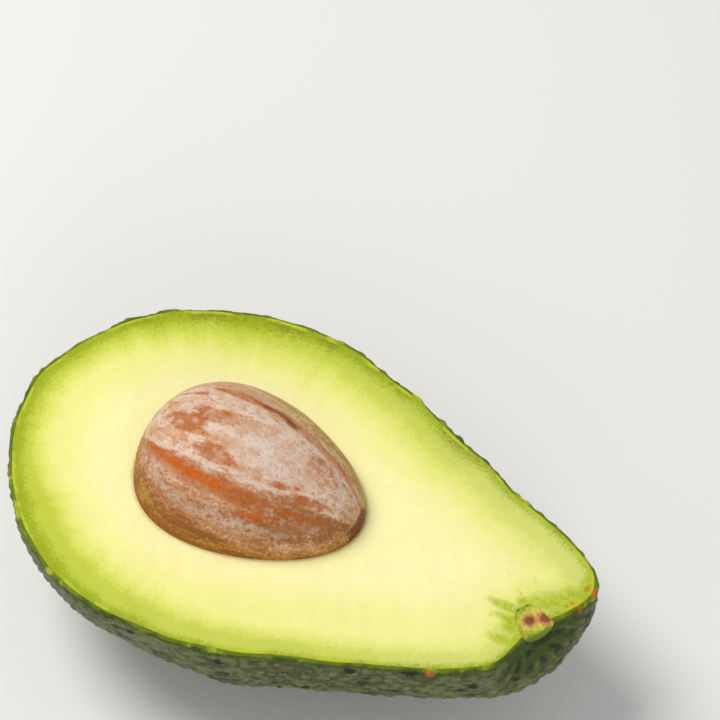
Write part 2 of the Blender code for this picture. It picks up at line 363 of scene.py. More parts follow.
def points_and_normals(directions, shape):
    """Points of a shape and the outward normals there, found by small steps over the sphere."""
    helper = np.where(np.abs(directions[:, :1]) < 0.9, [[1.0, 0.0, 0.0]], [[0.0, 0.0, 1.0]])
    first = unit(np.cross(directions, helper))
    second = np.cross(directions, first)
    step = 0.006
    one = shape(unit(directions + step * first)) - shape(unit(directions - step * first))
    two = shape(unit(directions + step * second)) - shape(unit(directions - step * second))
    return shape(directions), unit(np.cross(one, two))


def noise_at(points, size, offset=(0.0, 0.0, 0.0)):
    """Smooth noise from about -0.6 to 0.6 at each point, with features of about this size."""
    shift = Vector(offset)
    return np.array([noise.noise(Vector(point) / size + shift) for point in points])


def lumps(points):
    ripples = noise_at(points, RIPPLE_SIZE, (7, 3, 1))
    return LUMP_HEIGHT * noise_at(points, LUMP_SIZE) + RIPPLE_HEIGHT * ripples


def directions_of(polar, turn):
    """Directions over a sphere: a pole, a row for each polar angle with its own turns, and the other pole."""
    side = np.sin(polar)[:, None]
    along = -np.cos(polar)[:, None] + 0 * turn
    grid = np.stack([along, side * np.cos(turn), side * np.sin(turn)], axis=2)
    return np.concatenate([[[-1.0, 0.0, 0.0]], grid.reshape(-1, 3), [[1.0, 0.0, 0.0]]])


def half_directions(rows, columns):
    """Directions over the lower half of a sphere, in rows from rim to rim."""
    polar = np.linspace(0.0, math.pi, rows + 1)[1:-1]
    turn = np.linspace(0.0, -math.pi, columns + 1)[None, :] + 0 * polar[:, None]
    return directions_of(polar, turn)


def worn_directions(rows, columns, bevel):
    """The same, but the rim lies below the cut by an uneven bevel, as the knife leaves it."""
    polar = np.linspace(0.0, math.pi, rows + 1)[1:-1]
    run = polar / math.pi * OUTLINE_RUN[-1]
    width = np.interp(run, OUTLINE_RUN, OUTLINE_WIDTH)
    starts = []
    for side in (1, -1):
        place = np.stack([run, side * 40.0 + 0 * run, 0 * run], axis=1)
        drop = bevel * (1 + 1.6 * noise_at(place, 6.5) + 0.9 * noise_at(place, 2.4, (3, 3, 3)))
        starts.append(np.arcsin(np.clip(np.clip(drop, LEAST_BEVEL, MOST_BEVEL) / width, 0, 0.25)))
    share = np.linspace(0.0, 1.0, columns + 1)[None, :]
    first = -starts[0][:, None]
    last = -math.pi + starts[1][:, None]
    return directions_of(polar, first * (1 - share) + last * share)


class Body:
    """Vertices and faces of one piece, gathered a patch at a time."""

    def __init__(self):
        self.points = []
        self.faces = []
        self.count = 0

    def add(self, points):
        """Adds vertices and returns their numbers."""
        first = self.count
        self.points.append(np.asarray(points, float).reshape(-1, 3))
        self.count += len(self.points[-1])
        return list(range(first, self.count))

    def half_shell(self, points, rows, columns):
        """Faces for points laid out by half_directions. Returns the rim as a loop from the first pole."""
        numbers = self.add(points)
        lines = np.reshape(numbers[1:-1], (rows - 1, columns + 1)).tolist()
        self.sheet(lines, numbers[0], numbers[-1])
        left = [line[0] for line in lines]
        right = [line[-1] for line in lines]
        return [numbers[0]] + left + [numbers[-1]] + right[::-1]

    def strip(self, above, below):
        for i in range(len(above) - 1):
            self.faces.append((above[i], above[i + 1], below[i + 1], below[i]))

    def ring(self, last, points):
        """Adds a closed loop of vertices and the quads between it and the last loop. Returns the new loop."""
        numbers = self.add(points)
        self.strip(last + last[:1], numbers + numbers[:1])
        return numbers

    def fan(self, line, tip):
        for i in range(len(line) - 1):
            self.faces.append((line[i], line[i + 1], tip))

    def sheet(self, lines, first_tip, last_tip):
        """Quads between lines of vertices, and a fan of triangles from a tip to each end line."""
        self.fan(lines[0], first_tip)
        self.fan(lines[-1], last_tip)
        for above, below in zip(lines, lines[1:]):
            self.strip(above, below)

    def all_points(self):
        return np.concatenate(self.points)

    def mesh(self, name):
        """A closed mesh in metres, with its faces turned outwards."""
        mesh = bpy.data.meshes.new(name)
        mesh.from_pydata((self.all_points() * MM).tolist(), [], self.faces)
        work = bmesh.new()
        work.from_mesh(mesh)
        bmesh.ops.recalc_face_normals(work, faces=work.faces[:])
        work.to_mesh(mesh)
        work.free()
        return mesh


def add_values(mesh, name, values):
    """Stores one number per vertex, for the materials to read."""
    layer = mesh.attributes.new(name, "FLOAT", "POINT")
    layer.data.foreach_set("value", np.asarray(values, np.float32))


def add_object(name, data):
    made = bpy.data.objects.new(name, data)
    bpy.context.scene.collection.objects.link(made)
    return made


def show_piece(mesh, place=(0.0, 0.0, 0.0), turn=0.0):
    """An object for the mesh, in the fruit's frame. Place is in millimetres."""
    piece = add_object(mesh.name, mesh)
    piece.location = FRUIT_AT + Vector(place) * MM
    piece.rotation_euler = (0.0, 0.0, turn)
    return piece


def dress(piece, node, material, sharp_angle):
    """Smooths a piece, gives it its material, and puts it in the place of its solid."""
    piece.data.materials.clear()
    piece.data.materials.append(material)
    piece.data.shade_smooth()
    piece.data.set_sharp_from_angle(angle=math.radians(sharp_angle))
    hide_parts(node)
    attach(piece, "root")


def carve(piece, cutter):
    """Takes the cutter out of a piece for good, and removes the cutter."""
    cut = piece.modifiers.new("cut", "BOOLEAN")
    cut.operation = "DIFFERENCE"
    cut.solver = "EXACT"
    cut.object = cutter
    graph = bpy.context.evaluated_depsgraph_get()
    carved = bpy.data.meshes.new_from_object(piece.evaluated_get(graph))
    if not carved.polygons:
        raise RuntimeError(f"{piece.name}: nothing is left after the cut")
    name = piece.data.name
    piece.modifiers.clear()
    old, piece.data = piece.data, carved
    bpy.data.meshes.remove(old)
    carved.name = name
    bpy.data.objects.remove(cutter)


def both_ways(operation):
    """The methods for an operator with the Value before it and with the Value after it."""

    def before(self, other):
        return self.maths(operation, self, other)

    def after(self, other):
        return self.maths(operation, other, self)

    return before, after


class Value:
    """A shader socket. Sums on it add Math nodes."""

    def __init__(self, shader, socket):
        self.shader = shader
        self.socket = socket

    def maths(self, operation, *values):
        node = self.shader.node("ShaderNodeMath", {"operation": operation}, dict(enumerate(values)))
        return Value(self.shader, node.outputs[0])

    __add__, __radd__ = both_ways("ADD")
    __sub__, __rsub__ = both_ways("SUBTRACT")
    __mul__, __rmul__ = both_ways("MULTIPLY")
    __truediv__, __rtruediv__ = both_ways("DIVIDE")

    def __abs__(self):
        return self.maths("ABSOLUTE", self)


class Shader:
    """One material with a Principled shader, and the nodes that feed it."""

    def __init__(self, name, **constants):
        self.material = bpy.data.materials.new(name)
        self.material.use_nodes = True
        self.tree = self.material.node_tree
        self.surface = self.tree.nodes["Principled BSDF"]
        self.paint = None
        self.feed_surface(constants)

    def node(self, kind, settings=None, values=None):
        """A node of this kind: its settings first, then the values or links of its sockets."""
        made = self.tree.nodes.new(kind)
        for name, setting in (settings or {}).items():
            setattr(made, name, setting)
        for socket, value in (values or {}).items():
            self.feed(made.inputs[socket], value)
        return made

    def feed(self, socket, value):
        if isinstance(value, Value):
            self.tree.links.new(value.socket, socket)
        elif socket.type == "RGBA" and len(value) == 3:
            socket.default_value = (*value, 1.0)
        else:
            socket.default_value = value

    def feed_surface(self, sockets):
        for name, value in sockets.items():
            self.feed(self.surface.inputs[name.replace("_", " ")], value)

    def value(self, node, output=0):
        return Value(self, node.outputs[output])

    def millimetres(self, stretch=(1.0, 1.0, 1.0)):
        """The piece's own coordinates in millimetres, stretched if asked."""
        place = self.value(self.node("ShaderNodeTexCoord"), "Object")
        return self.vector_maths("MULTIPLY", place, [s / MM for s in stretch])

    def vector_maths(self, operation, first, second):
        return self.value(self.node("ShaderNodeVectorMath", {"operation": operation}, {0: first, 1: second}))

    def bent(self, vector, scale, amount):
        """The vector, pushed about by noise of this scale."""
        values = {"Vector": vector, "Scale": scale, "Detail": 2.0}
        cloud = self.value(self.node("ShaderNodeTexNoise", values=values), "Color")
        centred = self.vector_maths("SUBTRACT", cloud, [0.5] * 3)
        return self.vector_maths("ADD", vector, self.vector_maths("MULTIPLY", centred, [amount] * 3))

    def part(self, vector, axis):
        return self.value(self.node("ShaderNodeSeparateXYZ", values={0: vector}), axis)

    def stored(self, name):
        return self.value(self.node("ShaderNodeAttribute", {"attribute_name": name}), "Fac")

    def noise(self, vector, scale, detail=3.0, roughness=0.55):
        """Noise that swings from about -0.5 to 0.5."""
        values = {"Vector": vector, "Scale": scale, "Detail": detail, "Roughness": roughness}
        return self.value(self.node("ShaderNodeTexNoise", values=values)) - 0.5

    def cells(self, vector, scale):
        values = {"Vector": vector, "Scale": scale}
        return self.value(self.node("ShaderNodeTexVoronoi", values=values), "Distance")

    def rise(self, value, low, high, start=0.0, end=1.0):
        """A smooth change from start to end while the value goes from low to high."""
        node = self.node(
            "ShaderNodeMapRange",
            {"interpolation_type": "SMOOTHSTEP"},
            {"Value": value, "From Min": low, "From Max": high, "To Min": start, "To Max": end},
        )
        return self.value(node)

    def spot(self, first, second, at, size, ragged, outside=1.3, inside=0.5):
        """1 inside an oval in two coordinates, 0 outside. Ragged, a noise round 0, frays its edge."""
        one = (first - at[0]) / size[0]
        two = (second - at[1]) / size[1]
        return self.rise(one * one + two * two + ragged, outside, inside)

    def blend(self, share, first, second):
        """A colour that goes from first to second as share goes from 0 to 1."""
        node = self.node("ShaderNodeMix", {"data_type": "RGBA"}, {0: share, 6: first, 7: second})
        return self.value(node, 2)

    def lay(self, share, colour):
        """Lays a colour on the paint so far, as thickly as the share says."""
        self.paint = self.blend(share, self.paint, colour)

    def bump(self, height, distance, strength=1.0):
        values = {"Height": height, "Distance": distance, "Strength": strength}
        return self.value(self.node("ShaderNodeBump", values=values), "Normal")

    def finish(self, **sockets):
        """Feeds the paint to the base colour, and other values to their sockets."""
        self.feed_surface({"Base_Color": self.paint, **sockets})
        return self.material


def tree_of(points):
    """The points in a tree that finds the nearest ones fast."""
    tree = kdtree.KDTree(len(points))
    for i, point in enumerate(points):
        tree.insert(point, i)
    tree.balance()
    return tree


def pebble_field(pitch):
    """The pebbles' centres below the cut, in a tree squeezed along X, and random numbers for each pebble."""
    draw = random.Random(PEBBLE_SEED)
    ring_area = 2 * math.pi * (OUTLINE_WIDTH[1:] + OUTLINE_WIDTH[:-1]) / 2 * OUTLINE_STEP
    covered = np.concatenate([[0.0], np.cumsum(ring_area)])
    count = int(covered[-1] / (pitch**2 * math.sqrt(3) / 2))
    golden = math.pi * (3 - math.sqrt(5))
    directions = []
    for i in range(count):
        strayed = i + draw.uniform(-PEBBLE_STRAY, PEBBLE_STRAY)
        area = min(max(strayed / count, 0.0), 1.0) * covered[-1]
        polar = np.interp(area, covered, OUTLINE_RUN) / OUTLINE_RUN[-1] * math.pi
        turn = i * golden + draw.uniform(-PEBBLE_TURN_STRAY, PEBBLE_TURN_STRAY)
        side = math.sin(polar)
        directions.append((-math.cos(polar), side * math.cos(turn), side * math.sin(turn)))
    centres = fruit_points(np.array(directions))
    centres = centres[centres[:, 2] < 3 * pitch]
    own = np.array([[draw.random() for _ in range(4)] for _ in centres])
    return tree_of(centres * PEBBLE_SQUEEZE), own


def pebbles(points, pitch):
    """Height from 0 to 1 of the pebbled relief at each point, and the tint of the pebble there."""
    tree, own = pebble_field(pitch)
    heights = []
    tints = []
    for point in points * PEBBLE_SQUEEZE:
        (_, first, near), (_, _, far) = tree.find_n(point, 2)
        strength, width, tint, _ = own[first]
        dome = max(0.0, 1.0 - (near / (pitch * (0.46 + 0.2 * width))) ** 2)
        groove = min(1.0, (far - near) / (0.45 * pitch))
        heights.append(dome**0.8 * groove * (0.25 + 0.75 * strength))
        tints.append(tint)
    return np.array(heights), np.array(tints)


def stem_place(points):
    """Distance from the stem's axis and the angle round it, where the point is near the stem end."""
    near = points[:, 0] > BELLY_AT + NECK_LENGTH / 2
    radius = np.where(near, np.hypot(points[:, 1] - STEM_Y, points[:, 2]), 1000.0)
    return radius, np.arctan2(points[:, 2], points[:, 1] - STEM_Y)


def skin_outside(sizes):
    """The skin's outer points, with the values that its material reads."""
    directions = worn_directions(FRUIT_ROWS, SKIN_COLUMNS, sizes.bevel / MM)
    smooth, normals = points_and_normals(directions, fruit_points)
    heights, tints = pebbles(smooth, sizes.pebble_pitch / MM)
    radius, turn = stem_place(smooth)
    pebbled = smooth_step(radius / PEBBLE_FREE_RADIUS - 0.4)
    ring = np.exp(-(((radius - PLEAT_RADIUS) / PLEAT_WIDTH) ** 2))
    wander = 1.2 * noise_at(smooth, 6.0, (1, 9, 4))
    pleats = ring * (1 + np.cos(PLEAT_COUNT * turn + wander)) / 2
    fine = noise_at(smooth, 1.3, (5, 5, 5))
    rise = lumps(smooth) + sizes.pebble_height / MM * heights * pebbled
    rise += PLEAT_HEIGHT * pleats + SKIN_GRAIN_HEIGHT * fine
    points = smooth + normals * rise[:, None]
    points[:, 2] = np.clip(points[:, 2], -REST_DEPTH, 0.0)
    stem = np.exp(-((np.minimum(radius, 60.0) / 9.5) ** 4))
    return points, {"pebble": heights * pebbled, "tint": tints, "stem": stem, "pleat": pleats}


def flatten_rim(points, rows, columns):
    """Sets the rim of a half shell on the plane of the cut."""
    flat = points.copy()
    flat[[0, -1], 2] = 0.0
    body = flat[1:-1].reshape(rows - 1, columns + 1, 3)
    body[:, [0, -1], 2] = 0.0
    body[:, 1:-1, 2] = np.minimum(body[:, 1:-1, 2], -0.01)
    return flat


def inner_shell(inset, columns):
    """The smooth shape a distance inside the skin, as a half shell."""
    directions = half_directions(FRUIT_ROWS, columns)
    smooth, normals = points_and_normals(directions, inner_points)
    points = smooth + normals * (lumps(smooth) - inset)[:, None]
    points[:, 2] = np.maximum(points[:, 2], inset - REST_DEPTH)
    return flatten_rim(points, FRUIT_ROWS, columns)


def make_skin(sizes):
    body = Body()
    outside, values = skin_outside(sizes)
    outer_rim = body.half_shell(outside, FRUIT_ROWS, SKIN_COLUMNS)
    thickness = sizes.thickness / MM
    inner_rim = body.half_shell(inner_shell(thickness, HIDDEN_COLUMNS), FRUIT_ROWS, HIDDEN_COLUMNS)
    points = body.all_points()
    last = outer_rim
    for share in RIM_SHARES:
        ring = points[outer_rim] * (1 - share) + points[inner_rim] * share
        ring[:, 2] *= 1 - 0.5 * share
        bulge = RIM_BULGE + RIM_UNEVENNESS * noise_at(ring, 3.5, (6, 2, 0))
        ring[:, 2] += math.sin(share * math.pi) * bulge
        last = body.ring(last, ring)
    body.strip(last + last[:1], inner_rim + inner_rim[:1])
    mesh = body.mesh("avocado_skin")
    spare = body.count - len(values["pebble"])
    for name, numbers in values.items():
        add_values(mesh, name, np.concatenate([numbers, np.zeros(spare)]))
    add_values(mesh, "below", -body.all_points()[:, 2])
    return mesh


def skin_material(look):
    shader = Shader("avocado skin", Specular_IOR_Level=0.22, Coat_Roughness=0.3)
    rise, spot, blend, lay, stored = shader.rise, shader.spot, shader.blend, shader.lay, shader.stored
    place = shader.millimetres()
    pebble = stored("pebble")
    tint = stored("tint")
    stem = stored("stem")
    broad = shader.noise(place, 0.09, 3.0)
    mottle = shader.noise(place, 0.6, 4.0, 0.6)
    grain = shader.noise(place, 2.6, 4.0, 0.6)
    pits = shader.noise(shader.millimetres((0.5, 0.8, 1.2)), 0.46, 3.0)
    top = pebble + 0.8 * grain

    # Real bloom mixed with painted sheen: the skin turns grey where the noise says, a little more on the
    # pebbles' tops
    bloom = rise(mottle + 0.5 * broad + 0.25 * (pebble - 0.3), -0.14, 0.08)
    shader.paint = blend(bloom, look.mid, look.bloom_and_sheen)
    is_fleck = rise(top, 0.30, 0.75) * rise(tint, 0.55, 0.60)
    flecks = blend(rise(tint, 0.84, 0.86), look.yellow, look.brown)
    lay(is_fleck * 0.5, flecks)
    # Painted shade: dark green in the grooves between the pebbles, where the relief is low. The dark pits on
    # the next line are the skin's own colour
    lay(rise(pebble + 0.5 * grain, 0.12, -0.12) * 0.5, look.dark)
    lay(rise(pits + 0.25 * grain, 0.075, 0.145), look.dark)

    # Round the stem: painted shade in dark green down between the pleats, a painted grey highlight on their
    # crests, and the skin's own moss-green patches
    ridges = stored("pleat") + 1.4 * mottle
    pleats_with_painted_light = blend(rise(ridges, 0.1, 0.6), look.dark, look.mid)
    pleats_with_painted_light = blend(rise(ridges, 0.6, 1.1) * 0.8, pleats_with_painted_light, look.bloom_and_sheen)
    pleats_with_painted_light = blend(rise(pits + 0.2 * grain, -0.05, 0.05) * 0.9, pleats_with_painted_light, look.moss)
    lay(rise(stem + 0.9 * mottle, 0.3, 0.8) * 0.8, pleats_with_painted_light)

    wave = shader.noise(place, 0.2, 3.0)
    below = stored("below") + 2.4 * wave + 0.35 * mottle + 0.2 * grain
    # Painted shadow: a band of moss green just under the skin's cut edge
    lay(rise(below, 1.0, 0.5) * 0.9, look.moss)
    lip = blend(rise(wave + 0.2 * mottle, -0.20, -0.04), look.cut, look.lip)
    lay(rise(below, 0.45, 0.10), lip)
    ragged = 3.0 * mottle + 4.0 * grain
    near_edge = rise(stored("below"), 1.8, 1.2)
    for at, size in SKIN_STAINS:
        stain = spot(shader.part(place, 0), shader.part(place, 1), at, size, ragged)
        lay(stain * near_edge * 0.7, look.stain)
    rough = rise(grain, -0.2, 0.2, 0.40, 0.58)
    dimples = shader.cells(place, 1.4)
    height = 0.5 * grain + 0.3 * dimples + 0.35 * shader.noise(place, 7.0, 3.0)
    coat = rise(stored("below"), 0.8, 2.0, 0.0, 0.07)
    return shader.finish(Roughness=rough, Coat_Weight=coat, Normal=shader.bump(height, 0.0003, 0.7))


def seed_section():
    """The seed's outline in the plane of the cut, as angle round its centre and radius."""
    u = np.cos(np.linspace(0.0, math.pi, SECTION_POINTS))
    width = seed_width(u, SEED_RADIUS)
    x = SEED_HALF_LENGTH * u
    angle = np.arctan2(width, x)
    radius = np.hypot(x, width)
    return np.concatenate([angle, -angle[-2:0:-1]]), np.concatenate([radius, radius[-2:0:-1]])


def seed_swell(u):
    return 1.0 - SEED_TAPER * u + SEED_SHOULDER * (u * u - 0.25)


def seed_width(u, radius):
    """Half width of an egg of this radius, at a place from -1 to 1 along it."""
    return radius * np.sqrt(np.maximum(1 - u * u, 0)) * seed_swell(u)


def hollow_rim(targets, gap):
    """Where the line from the seed's centre to each target leaves the seed, plus a gap."""
    angles, radii = seed_section()
    order = np.argsort(angles)
    centre = np.array(SEED_AT)[:2]
    away = targets[:, :2] - centre
    angle = np.arctan2(away[:, 1], away[:, 0])
    reach = np.interp(angle - SEED_TURN, angles[order], radii[order], period=2 * math.pi) + gap
    return np.stack([centre[0] + reach * np.cos(angle), centre[1] + reach * np.sin(angle), 0 * angle], axis=1)


def hollow_ring(rim, share):
    """A ring of the hollow under the seed, from the rim at share 0 to its lowest point at share 1."""
    centre = np.array(SEED_AT)
    turned = Matrix.Rotation(-SEED_TURN, 2)
    local = (rim - centre)[:, :2] @ np.array(turned).T * math.cos(share * math.pi / 2)
    u = np.clip(local[:, 0] / (SEED_HALF_LENGTH + HOLLOW_CLEARANCE), -1, 1)
    radius = seed_width(u, SEED_RADIUS + HOLLOW_CLEARANCE)
    depth = np.sqrt(np.maximum(radius**2 - local[:, 1] ** 2, 0))
    back = local @ np.array(turned)
    return np.stack([centre[0] + back[:, 0], centre[1] + back[:, 1], -depth], axis=1)


def nearest(loop, points):
    """For each point, the distance to the loop and the loop's point there."""
    tree = tree_of(loop)
    found = [tree.find(point) for point in points]
    return np.array([f[2] for f in found]), loop[[f[1] for f in found]]


def face_relief(points, from_rim):
    """The knife leaves the face a little wavy. It is level at the rims."""
    waves = KNIFE_WAVE_HEIGHT * noise_at(points, 9.0, (3, 1, 8))
    waves += KNIFE_RIPPLE_HEIGHT * noise_at(points, 2.6, (2, 2, 2))
    return waves * smooth_step(from_rim / 2.0)


def make_flesh(sizes):
    body = Body()
    inset = sizes.thickness / MM + CLOSE_FIT
    rim = body.half_shell(inner_shell(inset, HIDDEN_COLUMNS), FRUIT_ROWS, HIDDEN_COLUMNS)
    rim_points = body.all_points()[rim]
    hole_points = hollow_rim(rim_points, CLOSE_FIT)
    last = rim
    shares = np.linspace(0.0, 1.0, FACE_RINGS + 1)[1:]
    for share in 0.35 * shares + 0.65 * shares**2:
        last = body.ring(last, rim_points * (1 - share) + hole_points * share)
    for share in np.linspace(0.0, 1.0, HOLLOW_RINGS + 1)[1:-1]:
        last = body.ring(last, hollow_ring(hole_points, share))
    tip = body.add(hollow_ring(hole_points[:1], 1.0))[0]
    body.fan(last + last[:1], tip)

    points = body.all_points()
    from_skin, beside = nearest(rim_points, points)
    from_seed, _ = nearest(hole_points, points)
    on_face = np.abs(points[:, 2]) < 1e-6
    relief = face_relief(points, np.minimum(from_skin, from_seed))
    points[:, 2] += np.where(on_face, relief, 0.0)
    body.points = [points]
    mesh = body.mesh("avocado_flesh")
    add_values(mesh, "from_skin", from_skin)
    add_values(mesh, "from_seed", from_seed)
    streak = noise_at(beside, 3.2, (4, 0, 0)) + 0.7 * noise_at(beside, 0.9, (0, 6, 0))
    add_values(mesh, "streak", streak)
    add_values(mesh, "stem_green", stem_green(points))
    return mesh


def stem_green(points):
    """Green strands that fan out from the plug into the flesh."""
    away = points[:, :2] - np.array(PLUG_AT)[:2]
    distance = np.hypot(away[:, 0], away[:, 1])
    turn = np.arctan2(away[:, 1], away[:, 0])
    around = np.stack([np.cos(turn) * 2.2, np.sin(turn) * 2.2, distance * 0.16], axis=1)
    strands = np.clip(0.5 + 1.3 * noise_at(around, 0.42, (1, 2, 3)) + 0.9 * noise_at(around, 0.17), 0, 1)
    reach = np.exp(-(((np.maximum(distance - 3.0, 0)) / 4.2) ** 1.6))
    return reach * strands


def flesh_material(look):
    glow = {"Subsurface_Weight": 0.22, "Subsurface_Scale": 0.002, "Subsurface_Radius": (1.0, 0.8, 0.25)}
    shader = Shader("avocado flesh", Specular_IOR_Level=0.16, **glow)
    rise, spot, blend, lay, stored = shader.rise, shader.spot, shader.blend, shader.lay, shader.stored
    place = shader.millimetres()
    along, across = shader.part(place, 0), shader.part(place, 1)
    clouds = shader.noise(place, 0.16, 3.0)
    mottle = shader.noise(place, 0.9, 4.0, 0.6)
    speckle = shader.noise(place, 1.9, 3.0, 0.6)
    grain = shader.noise(place, 2.8, 3.0, 0.7)

    low_side = rise(across, 0.0, -16.0) * rise(along, 12.0, 70.0)
    far_end = rise(along, 24.0, 8.0) * rise(across, -22.0, -10.0)
    low_edge = rise(across, -8.0, -24.0) * rise(along, 72.0, 45.0)
    depth = stored("from_skin") * (1 + 0.12 * stored("streak"))
    depth = depth * (1 + 0.75 * low_side + 0.35 * far_end - rise(across, 12.0, 28.0, 0.0, 0.1))
    depth = depth - 1.5 * low_edge + 2.4 * clouds + 2.0 * mottle
    depth = depth + 2.6 * speckle + 5.0 * grain

    inside = stored("from_skin") + 5.0 * clouds + 1.5 * mottle
    shader.paint = blend(rise(inside, 17.0, 8.0), look.cream, look.yellow)
    lay(rise(mottle + 0.8 * clouds, 0.0, 0.22) * 0.12, look.lime)
    lay(rise(depth, 10.5, 5.2), look.lime)
    lay(rise(depth, 6.6, 3.0), look.green)
    pale = low_side + (1 - low_side) * rise(along, 30.0, 66.0)
    lay(pale * 0.1 + 0.2 * rise(along, 62.0, 92.0), look.cream)
    lay(rise(depth + 1.5 * pale + 1.7 * low_edge, 3.6, 1.2), look.deep)
    olive = rise(clouds + 0.5 * mottle + 0.6 * speckle, -0.10, 0.10)
    olive = olive * rise(depth, 3.2, 0.6) * rise(across, 14.0, 24.0)
    lay(olive * 0.8, look.olive)

    ragged = 2.2 * mottle + 1.6 * grain
    patchy = rise(mottle + 0.5 * speckle + 0.4 * grain, -0.12, 0.10)
    fibres = rise(stored("stem_green") + 0.5 * ragged, 0.1, 0.9)
    lay(fibres * patchy * 0.7, look.green)
    for at, size in STEM_GREENS:
        haze = spot(along, across, at, size, ragged, 2.6, -0.6)
        lay(haze * 0.8, look.edge)
        lay(haze * patchy * 0.65, look.stem)
    edge = stored("from_skin") + 1.2 * mottle + 0.4 * grain
    lay(rise(edge, 0.80, 0.30) * rise(clouds, -0.04, 0.06), look.edge)
    for at, size in RIM_STAINS:
        lay(spot(along, across, at, size, ragged) * 0.75, look.stain)
    # An ochre ring round the seed: partly a stain from the seed, partly painted shade at the seam between
    # flesh and seed
    stain = rise(stored("from_seed") + 0.9 * mottle, 0.8, 0.0)
    lay(stain * 0.55, look.hollow)
    rough = rise(mottle, -0.2, 0.2, 0.42, 0.58)
    height = 0.6 * grain + 0.6 * mottle + 0.3 * shader.noise(place, 10.0, 2.0)
    return shader.finish(Roughness=rough, Normal=shader.bump(height, 0.00012, 0.6))


def seed_points(directions):
    u = directions[:, 0]
    width = SEED_RADIUS * seed_swell(u)
    return np.stack([SEED_HALF_LENGTH * u, width * directions[:, 1], width * directions[:, 2]], axis=1)


def seed_relief(points):
    """Depth of the long wrinkles, the seam and the flaked patches. It is never above 0."""
    turn = np.arctan2(points[:, 1], points[:, 2])
    ring = WRINKLE_RATE * np.cos(turn), WRINKLE_RATE * np.sin(turn)
    round_axis = np.stack([points[:, 0] / WRINKLE_LENGTH, *ring], axis=1)
    wrinkle = np.abs(noise_at(round_axis, 1.0))
    fine = np.abs(noise_at(round_axis * [1.6, 3.2, 3.2], 1.0, (3, 3, 3)))
    radius = np.hypot(points[:, 1], points[:, 2])
    from_seam = radius * (turn - SEED_SEAM_TURN - 0.05 * np.sin(points[:, 0] / 5.0))
    along = np.maximum(0.0, 1.0 - (points[:, 0] / SEED_HALF_LENGTH) ** 2)
    seam = np.exp(-(((from_seam + 1.2) / 1.1) ** 2)) * along
    from_flake = radius * (turn - SEED_FLAKE_TURN)
    flaked = smooth_step(0.5 - from_flake / 0.35) * smooth_step(1 + from_flake / 3.0)
    flaked *= smooth_step((points[:, 0] + 4) / 6) * smooth_step((18.5 - points[:, 0]) / 4)
    depth = WRINKLE_DEPTH * wrinkle + FINE_WRINKLE_DEPTH * fine + SEAM_DEPTH * seam + FLAKE_DEPTH * flaked
    above_flesh = smooth_step(points[:, 2] / 3.0)
    return -above_flesh * depth


def make_seed():
    polar = np.linspace(0.0, math.pi, SEED_ROWS + 1)[1:-1]
    turn = np.linspace(0.0, 2 * math.pi, SEED_COLUMNS + 1)[:-1]
    directions = directions_of(polar, turn[None, :] + 0 * polar[:, None])
    smooth, normals = points_and_normals(directions, seed_points)
    body = Body()
    numbers = body.add(smooth + normals * seed_relief(smooth)[:, None])
    rings = np.reshape(numbers[1:-1], (SEED_ROWS - 1, SEED_COLUMNS)).tolist()
    body.sheet([ring + ring[:1] for ring in rings], numbers[0], numbers[-1])
    mesh = body.mesh("avocado_seed")
    add_values(mesh, "turn", np.arctan2(smooth[:, 1], smooth[:, 2]) / math.pi)
    add_values(mesh, "along", smooth[:, 0] / SEED_HALF_LENGTH)
    return mesh


